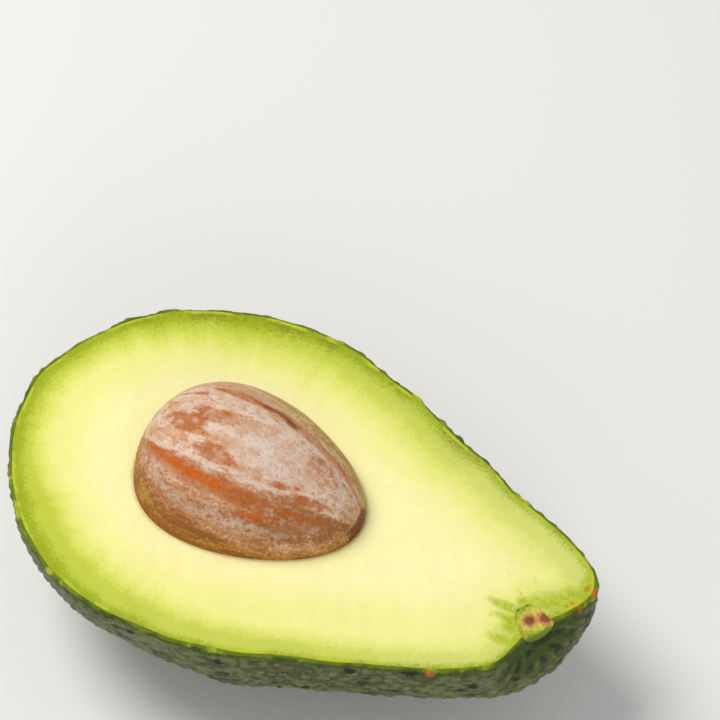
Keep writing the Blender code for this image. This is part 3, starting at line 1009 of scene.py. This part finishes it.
def seed_material(look):
    shader = Shader("avocado seed", Specular_IOR_Level=0.12)
    rise, spot, blend, lay, stored = shader.rise, shader.spot, shader.blend, shader.lay, shader.stored
    place = shader.millimetres()
    long_way = shader.bent(shader.millimetres((0.16, 1.0, 1.0)), 0.25, 1.2)
    turn, along, height = stored("turn"), stored("along"), shader.part(place, 2)
    blotches = shader.noise(long_way, 0.34, 4.0, 0.6)
    streaks = shader.noise(long_way, 1.5, 5.0, 0.65)
    medium = shader.noise(place, 0.5, 4.0, 0.6)
    grain = shader.noise(place, 1.8, 4.0, 0.65)
    ragged = 1.8 * blotches + 2.2 * streaks + 1.6 * grain
    wander = turn + 0.05 * blotches + 0.03 * streaks
    worn = blotches + 0.6 * streaks + 0.7 * grain
    broken = rise(medium + 0.7 * grain, -0.14, 0.10)

    upper = blend(rise(worn, -0.16, 0.12), look.tan, look.pale)
    upper = blend(rise(medium + 0.5 * grain, -0.04, 0.16) * 0.7, upper, look.tan)
    lower = blend(rise(worn, -0.14, 0.18), look.brown, look.tan)
    lower = blend(rise(worn, 0.10, 0.25) * 0.7, lower, look.pale)
    dusky = spot(along, turn, (0.62, -0.26), (0.42, 0.12), ragged)
    lower = blend(dusky * 0.5, lower, look.umber)
    for at, size in SEED_DUST:
        lower = blend(spot(along, turn, at, size, ragged) * broken * 0.35, lower, look.ash)
    shader.paint = blend(rise(wander, -0.14, -0.20), upper, lower)
    centre = spot(along, turn, (0.24, -0.03), (0.36, 0.085), ragged)
    lay(centre * rise(medium + grain, 0.10, -0.14, 0.1, 0.7), look.ash)
    for at, size in SEED_RUST:
        lay(spot(along, turn, at, size, ragged) * (0.25 + 0.6 * broken), look.rust)

    from_band = wander + 0.221 + 0.044 * along + 0.02 * grain
    band = rise(abs(from_band), 0.050, 0.018)
    band = band * rise(abs(along + 0.2 + 0.2 * ragged), 0.85, 0.5)
    lay(band * (0.3 + 0.5 * broken), look.rust)
    core = rise(abs(from_band), 0.024, 0.008)
    core = core * rise(abs(along + 0.40 + 0.12 * ragged), 0.44, 0.32)
    core = core + spot(along, turn, (0.25, -0.285), (0.11, 0.014), 0.5 * ragged)
    lay(core * (0.7 + 0.3 * broken), look.orange)
    ridge = rise(abs(wander + 0.158 - rise(along, 0.35, 0.8, 0.0, 0.09)), 0.014, 0.004)
    lay(ridge * rise(streaks, -0.15, 0.0) * 0.75, look.pale)

    beyond = rise(abs(wander - 0.158 + 0.03 * grain), 0.030, 0.008)
    lay(beyond * rise(along + 0.2 * ragged, -0.4, 0.1) * 0.6, look.rust)
    far = rise(wander + 0.05 * grain, 0.172, 0.21)
    far = far * rise(along + 0.2 * ragged, -0.3, 0.1)
    lay(far * 0.75, blend(rise(worn, 0.08, -0.08), look.beige, look.gold))
    crack = rise(abs(wander - 0.150), 0.012, 0.003) * rise(abs(along - 0.10), 0.22, 0.12)
    lay(crack * 0.8, look.dark)

    above = height + 3.0 * blotches + 1.5 * streaks + 1.5 * grain
    above = above + rise(along, -0.5, 0.6, -1.6, 2.4)
    foot = blend(rise(worn, -0.12, 0.10), look.umber, look.gold)
    foot = blend(far, foot, look.beige)
    lay(rise(above, 6.0, 2.6) * 0.85, foot)
    lay(rise(above, 1.6, 0.0) * 0.7, look.umber)
    tip = spot(along, height, (0.99, 1.2), (0.035, 2.2), ragged)
    lay(tip * 0.8, look.dark)
    lay(rise(streaks, -0.10, -0.24) * 0.5, look.umber)
    lay(rise(grain, -0.03, -0.18) * 0.45, look.umber)
    lay(rise(grain, 0.05, 0.18) * 0.2, look.pale)

    rough = rise(streaks, -0.2, 0.2, 0.42, 0.60)
    relief = 0.7 * streaks + 0.5 * blotches + 0.35 * grain
    return shader.finish(Roughness=rough, Normal=shader.bump(relief, 0.0006, 0.7))


def plug_profile(clearance):
    """Half outline of the plug, from its root to its outer end, in rows of (place along the axis, radius)."""
    end = PLUG_HALF_LENGTH + clearance
    lip = PLUG_RADIUS + PLUG_LIP + clearance
    corners = [
        (-end, 0.0),
        (-end, 0.55 * PLUG_ROOT_RADIUS + clearance),
        (-0.6 * PLUG_HALF_LENGTH, PLUG_ROOT_RADIUS + clearance),
        (0.4 * PLUG_HALF_LENGTH, PLUG_RADIUS + clearance),
        (end - PLUG_BEVEL, lip),
        (end, lip - PLUG_BEVEL),
        (end, 0.0),
    ]
    rows = [corners[0]]
    for (x0, r0), (x1, r1) in zip(corners, corners[1:]):
        steps = max(1, round(math.hypot(x1 - x0, r1 - r0) / PLUG_STEP))
        rows += [(x0 + (x1 - x0) * i / steps, r0 + (r1 - r0) * i / steps) for i in range(1, steps + 1)]
    return rows


def make_plug():
    """The half of the plug that the knife left: a fibrous half shell with a rough top."""
    body = Body()
    rows = plug_profile(0.0)
    turn = np.linspace(0.0, -math.pi, PLUG_COLUMNS + 1)
    grid = []
    for x, radius in rows[1:-1]:
        grid += [(x, radius * math.cos(g), radius * math.sin(g)) for g in turn]
    points = np.array([(rows[0][0], 0, 0)] + grid + [(rows[-1][0], 0, 0)])
    rough = PLUG_SIDE_ROUGHNESS * np.abs(noise_at(points * [0.5, 1.6, 1.6], 1.0))
    rough += 0.1 * np.abs(noise_at(points, 0.35))
    points[:, 1:] *= (1 - rough * smooth_step(-points[:, 2] / 1.2) / PLUG_RADIUS)[:, None]
    last = len(rows) - 1
    rim = body.half_shell(flatten_rim(points, last, PLUG_COLUMNS), last, PLUG_COLUMNS)
    left = rim[1:last]
    right = rim[:last:-1]
    lines = []
    for a, b in zip(left, right):
        ends = body.all_points()[[a, b]]
        shares = np.linspace(0, 1, PLUG_TOP_COLUMNS + 1)[1:-1, None]
        inside = ends[0] * (1 - shares) + ends[1] * shares
        edge = np.minimum(shares, 1 - shares)[:, 0]
        height = PLUG_TOP_ROUGHNESS * noise_at(inside, 0.8, (9, 0, 1)) - 0.08
        inside[:, 2] = height * smooth_step(edge / 0.12)
        lines.append([a] + body.add(inside) + [b])
    body.sheet(lines, rim[0], rim[last])
    return body.mesh("avocado_stem_plug")


def plug_cutter(clearance):
    """A plain whole plug with a clearance, to make the pocket with."""
    rows = plug_profile(clearance)
    body = Body()
    turn = np.linspace(0.0, 2 * math.pi, POCKET_COLUMNS + 1)[:-1] + 0.02
    rings = []
    for x, radius in rows[1:-1]:
        ring = body.add([(x, radius * math.cos(g), radius * math.sin(g)) for g in turn])
        rings.append(ring + ring[:1])
    tips = body.add([(rows[0][0], 0, 0), (rows[-1][0], 0, 0)])
    body.sheet(rings, *tips)
    return show_piece(body.mesh("plug_pocket"), PLUG_AT, PLUG_TURN)


def plug_material(look):
    shader = Shader("stem plug", IOR=1.4)
    rise, spot, blend, lay = shader.rise, shader.spot, shader.blend, shader.lay
    place = shader.millimetres()
    along, across = shader.part(place, 0), shader.part(place, 1)
    fibres = shader.noise(shader.millimetres((0.6, 1.0, 1.0)), 1.9, 4.0, 0.65)
    ragged = 2.4 * fibres
    patches = rise(shader.noise(place, 0.9, 4.0, 0.65), -0.10, 0.10)
    edge = spot(along, across, (0.2, 0.8), (2.4, 3.2), ragged)
    shader.paint = blend(edge, blend(patches * 0.7, look.green, look.moss), look.cream)
    lay(patches * 0.5, look.green)
    side = rise(shader.part(place, 2) + 0.4 * ragged, 0.0, -1.2)
    lay(side * 0.9, look.moss)
    for at, size in PLUG_BUNDLES:
        lay(spot(along, across, at, (size, size), ragged) * 0.9, look.rose)
        heart = spot(along, across, at, (0.62 * size, 0.62 * size), ragged)
        lay(heart * 0.9, look.brown)
    rough = rise(fibres, -0.2, 0.2, 0.55, 0.8)
    height = fibres + 0.5 * shader.noise(place, 5.0, 3.0)
    return shader.finish(Roughness=rough, Normal=shader.bump(height, 0.0003))


class AVOCADO_OT_skin(bpy.types.Operator):
    """Make the pebbled skin, with its cut edge and the pleats round the stem"""

    bl_idname = "avocado.skin"
    bl_label = "Skin"

    def execute(self, context):
        look = context.scene.avocado_skin
        piece = show_piece(make_skin(look))
        carve(piece, plug_cutter(CLOSE_FIT))
        dress(piece, "skin", skin_material(look), 55)
        return {"FINISHED"}


class AVOCADO_OT_flesh(bpy.types.Operator):
    """Make the flesh, with the seed's hollow and the plug's pocket"""

    bl_idname = "avocado.flesh"
    bl_label = "Flesh"

    def execute(self, context):
        piece = show_piece(make_flesh(context.scene.avocado_skin))
        carve(piece, plug_cutter(CLOSE_FIT))
        dress(piece, "flesh", flesh_material(context.scene.avocado_flesh), 45)
        return {"FINISHED"}


class AVOCADO_OT_seed(bpy.types.Operator):
    """Make the seed in its veined coat"""

    bl_idname = "avocado.seed"
    bl_label = "Seed"

    def execute(self, context):
        piece = show_piece(make_seed(), SEED_AT, SEED_TURN)
        dress(piece, "seed", seed_material(context.scene.avocado_seed), 70)
        return {"FINISHED"}


class AVOCADO_OT_plug(bpy.types.Operator):
    """Make the cut half of the stem's woody plug"""

    bl_idname = "avocado.plug"
    bl_label = "Stem plug"

    def execute(self, context):
        piece = show_piece(make_plug(), PLUG_AT, PLUG_TURN)
        dress(piece, "stem_plug", plug_material(context.scene.avocado_plug), 60)
        return {"FINISHED"}


def add_light(name, place, size, watts, tone):
    lamp = bpy.data.lights.new(name, "AREA")
    lamp.shape = "DISK"
    lamp.size = size
    lamp.energy = watts
    lamp.color = tone
    light = add_object(name, lamp)
    light.location = place
    light.rotation_euler = (LIT_POINT - Vector(place)).to_track_quat("-Z", "Y").to_euler()


def add_camera(lens):
    right = Vector((math.cos(VIEW_ROUND), math.sin(VIEW_ROUND), 0.0))
    away = Vector((-math.sin(VIEW_ROUND), math.cos(VIEW_ROUND), 0.0))
    up = away * math.sin(VIEW_ABOVE) + Vector((0.0, 0.0, math.cos(VIEW_ABOVE)))
    forward = up.cross(right)
    focal = lens / SENSOR_WIDTH * PICTURE_SIZE
    aim = (forward * focal + right * MIDDLE_FROM_POINT[0] + up * MIDDLE_FROM_POINT[1]).normalized()
    side = (right - aim * right.dot(aim)).normalized()
    data = bpy.data.cameras.new("camera")
    data.lens = lens
    data.sensor_width = SENSOR_WIDTH
    data.clip_start = 0.01
    camera = add_object("camera", data)
    axes = Matrix((side, side.cross(aim), -aim)).transposed()
    camera.matrix_world = Matrix.Translation(VIEW_POINT - forward * VIEW_DISTANCE) @ axes.to_4x4()
    bpy.context.scene.camera = camera


class AVOCADO_OT_stage(bpy.types.Operator):
    """Make the pale floor, the soft studio light and the camera"""

    bl_idname = "avocado.stage"
    bl_label = "Stage"

    def execute(self, context):
        look = context.scene.avocado_stage
        body = Body()
        signs = [(-1, -1, 0), (1, -1, 0), (1, 1, 0), (-1, 1, 0)]
        body.faces.append(body.add(FLOOR_REACH * np.array(signs)))
        floor = add_object("floor", body.mesh("floor"))
        shader = Shader("floor", Roughness=0.75)
        worn = 0.02 + 0.04 * shader.noise(shader.millimetres(), 0.01, 2.0)
        shader.paint = shader.blend(worn, look.floor, linear(225, 225, 222))
        floor.data.materials.append(shader.finish())
        for name, (place, size, tone) in LIGHTS.items():
            add_light(name, place, size, getattr(look, name), tone)
        world = bpy.data.worlds.new("sky")
        world.use_nodes = True
        background = world.node_tree.nodes["Background"]
        background.inputs["Color"].default_value = (1.0, 1.0, 1.0, 1.0)
        background.inputs["Strength"].default_value = look.sky
        context.scene.world = world
        context.scene.view_settings.view_transform = "Standard"
        add_camera(look.lens)
        return {"FINISHED"}


OPERATORS = (
    AVOCADO_OT_skin,
    AVOCADO_OT_flesh,
    AVOCADO_OT_seed,
    AVOCADO_OT_plug,
    AVOCADO_OT_stage,
)

GROUPS = {
    "avocado_skin": AVOCADO_PG_skin,
    "avocado_flesh": AVOCADO_PG_flesh,
    "avocado_seed": AVOCADO_PG_seed,
    "avocado_plug": AVOCADO_PG_plug,
    "avocado_stage": AVOCADO_PG_stage,
}


class AVOCADO_PT_panel(bpy.types.Panel):
    """Buttons that make the avocado's pieces, and their sizes and colours"""

    bl_label = "Avocado"
    bl_idname = "AVOCADO_PT_panel"
    bl_space_type = "VIEW_3D"
    bl_region_type = "UI"
    bl_category = "Avocado"

    def draw(self, context):
        for operator, group in zip(OPERATORS, GROUPS):
            box = self.layout.box()
            box.operator(operator.bl_idname)
            settings = getattr(context.scene, group)
            for name in settings.__annotations__:
                box.prop(settings, name)


def register():
    for name, group in GROUPS.items():
        bpy.utils.register_class(group)
        setattr(bpy.types.Scene, name, PointerProperty(type=group))
    for operator in OPERATORS:
        bpy.utils.register_class(operator)
    bpy.utils.register_class(AVOCADO_PT_panel)


def unregister():
    bpy.utils.unregister_class(AVOCADO_PT_panel)
    for operator in reversed(OPERATORS):
        bpy.utils.unregister_class(operator)
    for name, group in reversed(GROUPS.items()):
        delattr(bpy.types.Scene, name)
        bpy.utils.unregister_class(group)


def main():
    register()
    bpy.ops.avocado.skin()
    bpy.ops.avocado.flesh()
    bpy.ops.avocado.seed()
    bpy.ops.avocado.plug()
    bpy.ops.avocado.stage()


if __name__ == "__main__":
    main()
